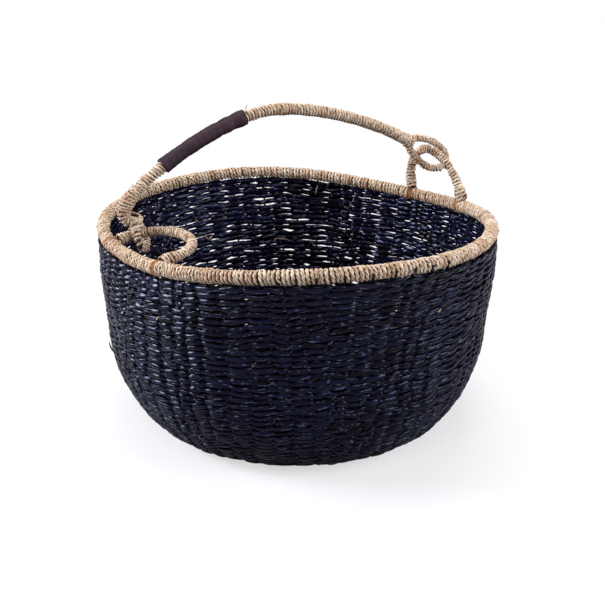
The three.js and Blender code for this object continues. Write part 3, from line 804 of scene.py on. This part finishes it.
for name, tip, along, across, shape, seed in (("near", near_tip, near_along, near_across, NEAR_KNOT, 101),
                                              ("far", far_tip, far_along, far_across, FAR_KNOT, 102)):
    knot = tube_mesh(f"{name}_fork_knot", fork_knot(tip, along, across, *shape, seed))
    knot.data.materials.append(STRAW_CORD)
    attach(knot, "handle")
    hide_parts(f"{name}_fork_lashing")


# Grip: one strip of dark brown leather rolled once round the bound rod and glued along its lap.
# It shows the turns of cord below it as soft waves, and one of its ends is cut a little askew.
GRIP_START = 70
GRIP_LENGTH = 93
GRIP_WALL = 0.9
GRIP_LAP = 0.6
GRIP_SEAM_SHARE = 0.03
GRIP_SEAM_TURN = 2.4
GRIP_LUMP = 0.28
GRIP_PRINT = 0.08
GRIP_CUT = 0.35


def leather():
    """Vegetable-tanned leather, dyed dark brown with a matt finish: a fine pebbled grain of about 1 mm
    and soft creases about 11 mm apart. Finished leather has an IOR near 1.5 and here a roughness of
    0.6."""
    material, tree, shader = new_material("dark_brown_leather")
    place = add(tree, "ShaderNodeTexCoord").outputs["Object"]
    grain = add(tree, "ShaderNodeTexVoronoi", {"Vector": place, "Scale": 900.0}, feature="DISTANCE_TO_EDGE")
    crease = add(tree, "ShaderNodeTexNoise", {"Vector": place, "Scale": 90.0, "Detail": 4.0})
    wear_and_glint = add(tree, "ShaderNodeMapRange", {0: crease.outputs["Fac"], 1: 0.35, 2: 0.7}).outputs[0]
    skin = add(tree, "ShaderNodeMix", {0: wear_and_glint, 6: colour("#2c1a22"), 7: colour("#3e2732")},
               data_type="RGBA")
    tree.links.new(skin.outputs[2], shader.inputs["Base Color"])
    shader.inputs["Roughness"].default_value = 0.6
    shader.inputs["Specular IOR Level"].default_value = 0.25
    height = add(tree, "ShaderNodeMath", {0: grain.outputs["Distance"], 1: crease.outputs["Fac"]},
                 operation="ADD")
    bump = add(tree, "ShaderNodeBump", {"Height": height.outputs[0], "Strength": 0.35, "Distance": 0.0004})
    tree.links.new(bump.outputs[0], shader.inputs["Normal"])
    return material


def grip_sleeve():
    """Sleeve carried along the rod: outer and inner face of one rolled strip. The outer radius grows
    by the lap over one turn, and waves along the rod where the cord below stands out."""
    rings, sides = 140, 48
    distance = GRIP_START + GRIP_LENGTH * np.linspace(0, 1, rings)
    share = np.arange(sides) / sides
    seam = np.clip(share / GRIP_SEAM_SHARE, 0, 1)
    draw = np.random.default_rng(17)
    lump = GRIP_LUMP * np.interp(distance, np.linspace(distance[0], distance[-1], 15), draw.normal(0, 1, 15))
    lump = np.convolve(np.pad(lump, 4, mode="edge"), np.hanning(11)[1:-1] / np.hanning(11).sum(), "valid")
    outer = HANDLE_BOUND / 2 + GAP + GRIP_WALL + GRIP_LAP * share * seam
    outer = outer[None, :] + lump[:, None] \
        + GRIP_PRINT * np.cos(2 * np.pi * distance / HANDLE_PITCH / 2)[:, None]
    inner = np.full((rings, sides), HANDLE_BOUND / 2 + GAP)
    cut = GRIP_CUT * np.sin(2 * np.pi * share + 1)
    grid = []
    for radius, order in ((outer, slice(None)), (inner, slice(None, None, -1))):
        shift = np.linspace(1, 0, rings) ** 8
        d = distance[:, None] + shift[:, None] * cut[None, :]
        point, _, side, lift = rod.frame(d.ravel())
        angle = np.tile(share * 2 * np.pi + GRIP_SEAM_TURN, rings)
        outward = np.cos(angle)[:, None] * side + np.sin(angle)[:, None] * lift
        ring = point + radius.ravel()[:, None] * outward
        grid.append(ring.reshape(rings, sides, 3)[order])
    return np.concatenate(grid)


sleeve_points = grip_sleeve()
sleeve = tube_mesh("leather_sleeve", [(sleeve_points, np.arange(len(sleeve_points)) / 10,
                                       np.full(len(sleeve_points), 0.5), True)])
sleeve.data.materials.append(leather())
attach(sleeve, "handle")
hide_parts("grip_sleeve")


# Loose ends: a few broken straws and dyed blades that stand out of the weave and the cords.
# Each is a thin tapered tube, rooted in the piece that it comes from.
LOOSE_RINGS = 14
LOOSE_SIDES = 6
LOOSE_TIP = 0.08
STRAWS_IN_WEAVE = [
    ((89.2, 304, -3.6), (88.2, 299.5, -4.8), -0.8, 1.1),
    ((87.2, 285, -3.6), (85.6, 279.5, -5.0), -0.8, 1.2),
    ((85.6, 279.5, -5.0), (84, 283.5, -3.6), -0.8, 1.1),
    ((60.5, 273.5, -3.4), (56, 272, -4.4), -0.8, 1.0),
    ((46.0, 335, -3.6), (46.5, 325, -5.2), -1.0, 0.55),
    ((194.8, 306.5, 3.4), (194.2, 303, 4.4), 0.6, 0.9),
    ((270.2, 306, 3.4), (269.0, 304, 4.2), 0.6, 0.6),
    ((221, 266, 3.4), (223, 275, 5.0), 1.0, 0.28),
]
BLADES_IN_WEAVE = [
    ((259, 306, 3.4), (267.2, 290, 3.6), 1.6, 0.25),
    ((165.5, 253, 7.5), (166, 240, 3.4), 1.5, 0.8),
    ((228, 246, 2.8), (224, 258, 5.5), 1.0, 0.35),
    ((285, 268, 2.8), (289, 279, 6.0), 1.0, 0.4),
]


def loose_end(knots, radius, tone):
    """One tapered tube along a cubic curve. Its radius x sqrt(sin) falls almost to nothing at its ends."""
    middle = bezier(*np.asarray(knots, float), count=LOOSE_RINGS)
    tangent = unit(np.gradient(middle, axis=0))
    side = unit(np.cross(tangent, [0.35, 0.2, 0.9]))
    lift = np.cross(tangent, side)
    turn = (np.arange(LOOSE_SIDES) + 0.5) * 2 * np.pi / LOOSE_SIDES
    size = radius * np.sqrt(np.sin(np.linspace(LOOSE_TIP, np.pi - LOOSE_TIP, LOOSE_RINGS)))
    ring = np.cos(turn)[None, :, None] * side[:, None, :] + np.sin(turn)[None, :, None] * lift[:, None, :]
    grid = middle[:, None, :] + size[:, None, None] * ring
    return grid, np.linspace(0, 1, LOOSE_RINGS), np.full(LOOSE_RINGS, tone), False


def on_wall(start, end, bow):
    """Four points from start to end, each an angle, a distance along the wall and one out from it."""
    knots = np.linspace(start, end, 4)
    knots[1:3, 2] += bow
    return on_bowl(np.radians(knots[:, 0]), knots[:, 1], knots[:, 2])


far_foot = foot_point(FAR_FEET[1] - 1.7, FAR_FOOT_LEAN)
far_foot_turn = rim_point(math.radians(FAR_FEET[1] - 2.5)) - rim_point(math.radians(FAR_FEET[1]))
far_foot_turn = unit(far_foot_turn)
grip_end, rod_way, _, _ = rod.frame(np.array(float(GRIP_START + GRIP_LENGTH + 1)))
grip_top = grip_end + UP * (HANDLE_BOUND / 2 - 0.5)
knot_low = near_tip + near_along * 6 - near_across * 8
loose = [
    ("loose_straws", "basket", "rim_binding_back", "straw_cord", STRAW_CORD,
     [loose_end(on_wall(start, end, bow), radius, 0.8) for start, end, bow, radius in STRAWS_IN_WEAVE]),
    ("loose_blades", "basket", "woven_body", "dark_weave", DYED_SEAGRASS,
     [loose_end(on_wall(start, end, bow), radius, 0.3) for start, end, bow, radius in BLADES_IN_WEAVE]),
    ("loose_lashing", "basket", "lashing_far_right", "dark_straw_cord", BROWN_STRAW_CORD,
     [loose_end((far_foot - UP * 5, far_foot + far_foot_turn * 5 + UP * 6,
                 far_foot + far_foot_turn * 9 - UP * 1, far_foot + far_foot_turn * 2 - UP * 6), 1.1, 0.2)]),
    ("loose_rod_straws", "handle", "handle_binding", "straw_cord", STRAW_CORD,
     [loose_end((grip_top, grip_top + UP * 2, grip_top + UP * 3 + rod_way * 2,
                 grip_top + UP * 6.5 + rod_way * 2.5), 0.3, 0.7),
      loose_end((knot_low, knot_low - UP * 3, knot_low - UP * 6 - rod_way * 2,
                 knot_low - UP * 10 - rod_way * 1), 0.35, 0.9)]),
]
for name, body, node, slot, material, tubes in loose:
    ends = tube_mesh(name, tubes)
    ends.data.materials.append(material)
    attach(ends, body)
    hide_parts(node)


# Cane: the hoop, the eyes' cores, the loops' cores and the rod's core, all under their cord.
# It is peeled rattan, drawn a darker brown than the real cane as painted shade, since it shows only in the
# cracks between turns; its pores are darker still.
def peeled_cane():
    """Peeled rattan, mottled by its pores, which are drawn as soft specks of 2 to 3 mm because finer ones
    wouldn't show. Wood has an IOR near 1.5 and, raw, a roughness of 0.7."""
    material, tree, shader = new_material("peeled_cane")
    place = add(tree, "ShaderNodeTexCoord").outputs["Object"]
    pores = add(tree, "ShaderNodeTexNoise", {"Vector": place, "Scale": 400.0, "Detail": 3.0})
    # Painted shade: both browns are darker than peeled rattan, for the shaded cracks it shows in.
    wood = add(tree, "ShaderNodeMix", {0: pores.outputs["Fac"], 6: colour("#3f2816"), 7: colour("#74522f")},
               data_type="RGBA")
    tree.links.new(wood.outputs[2], shader.inputs["Base Color"])
    shader.inputs["Roughness"].default_value = 0.7
    return material


PEELED_CANE = peeled_cane()
for name in ("rim_hoop", "near_eye_core", "far_eye_core", "near_loop_core", "far_loop_core", "handle_core"):
    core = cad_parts[name]
    core.data.materials.clear()
    core.data.materials.append(PEELED_CANE)


# Floor and backdrop: one white sheet, lit by itself away from the basket so that it turns pure white.
# It is matt, and carries the basket's soft shadow.
SHEET_GLOW = 0.6
SHEET_NEAR = 0.13
SHEET_FAR = 0.57


def studio_sheet():
    """Matt white paper. The camera sees it part lit by the lamps and part glowing, and the glow grows
    to full white with the distance from the basket. It sends only a little light back up."""
    material, tree, shader = new_material("white_paper")
    shader.inputs["Roughness"].default_value = 0.9
    place = add(tree, "ShaderNodeTexCoord").outputs["Object"]
    flat = add(tree, "ShaderNodeVectorMath", {0: place}, operation="LENGTH").outputs["Value"]
    share = add(tree, "ShaderNodeMapRange", {0: flat, 1: SHEET_NEAR, 2: SHEET_FAR, 3: SHEET_GLOW},
                interpolation_type="SMOOTHSTEP").outputs[0]
    path = add(tree, "ShaderNodeLightPath")
    seen = path.outputs["Is Camera Ray"]
    share = add(tree, "ShaderNodeMath", {0: share, 1: seen}, operation="MULTIPLY").outputs[0]
    paper = add(tree, "ShaderNodeMix", {0: seen, 6: colour("#8e8e90"), 7: colour("#fbfbfc")},
                data_type="RGBA")
    tree.links.new(paper.outputs[2], shader.inputs["Base Color"])
    glow = add(tree, "ShaderNodeEmission").outputs[0]
    mixed = add(tree, "ShaderNodeMixShader", {0: share, 1: shader.outputs[0], 2: glow})
    tree.links.new(mixed.outputs[0], tree.nodes["Material Output"].inputs["Surface"])
    return material


floor_mesh = bpy.data.meshes.new("floor")
floor_mesh.from_pydata([(-8, -8, 0), (8, -8, 0), (8, 8, 0), (-8, 8, 0)], [], [(0, 1, 2, 3)])
floor = bpy.data.objects.new("floor", floor_mesh)
floor.data.materials.append(studio_sheet())
bpy.context.scene.collection.objects.link(floor)

# Studio: a dim room, white only where the camera looks past the sheet, since nothing on the
# basket is metal or glass. It fills the shadows a little, and hardly shows in the seagrass's sheen.
# One softbox hangs above, one stands at each side and a weak one in front.
ROOM = 0.08
ROOM_FILL = 0.3
world = bpy.data.worlds.new("studio")
bpy.context.scene.world = world
world.use_nodes = True
sky = world.node_tree
path = add(sky, "ShaderNodeLightPath")
dim = add(sky, "ShaderNodeMapRange", {0: path.outputs["Is Diffuse Ray"], 3: ROOM, 4: ROOM_FILL}).outputs[0]
strength = add(sky, "ShaderNodeMapRange", {0: path.outputs["Is Camera Ray"], 3: dim, 4: 1.0})
background = sky.nodes["Background"]
background.inputs["Color"].default_value = (1, 1, 1, 1)
sky.links.new(strength.outputs[0], background.inputs["Strength"])


def softbox(name, location, size, power, tint):
    """A square area lamp aimed at the basket."""
    data = bpy.data.lights.new(name, "AREA")
    data.size = size
    data.energy = power
    data.color = tint
    lamp = bpy.data.objects.new(name, data)
    lamp.location = location
    lamp.rotation_mode = "QUATERNION"
    lamp.rotation_quaternion = (TARGET - Vector(location)).to_track_quat("-Z", "Y")
    bpy.context.scene.collection.objects.link(lamp)


softbox("top_softbox", (0.2, 0.2, 2.0), 1.0, 22, (0.97, 0.98, 1.0))
softbox("front_softbox", (-1.0, -1.1, 1.7), 0.9, 9, (0.97, 0.98, 1.0))
softbox("left_softbox", (-1.35, 1.02, 0.8), 0.75, 44, (0.88, 0.92, 1.0))
softbox("right_softbox", (0.88, -1.56, 0.8), 1.1, 29, (0.86, 0.9, 1.0))

bpy.context.scene.view_settings.view_transform = "Standard"
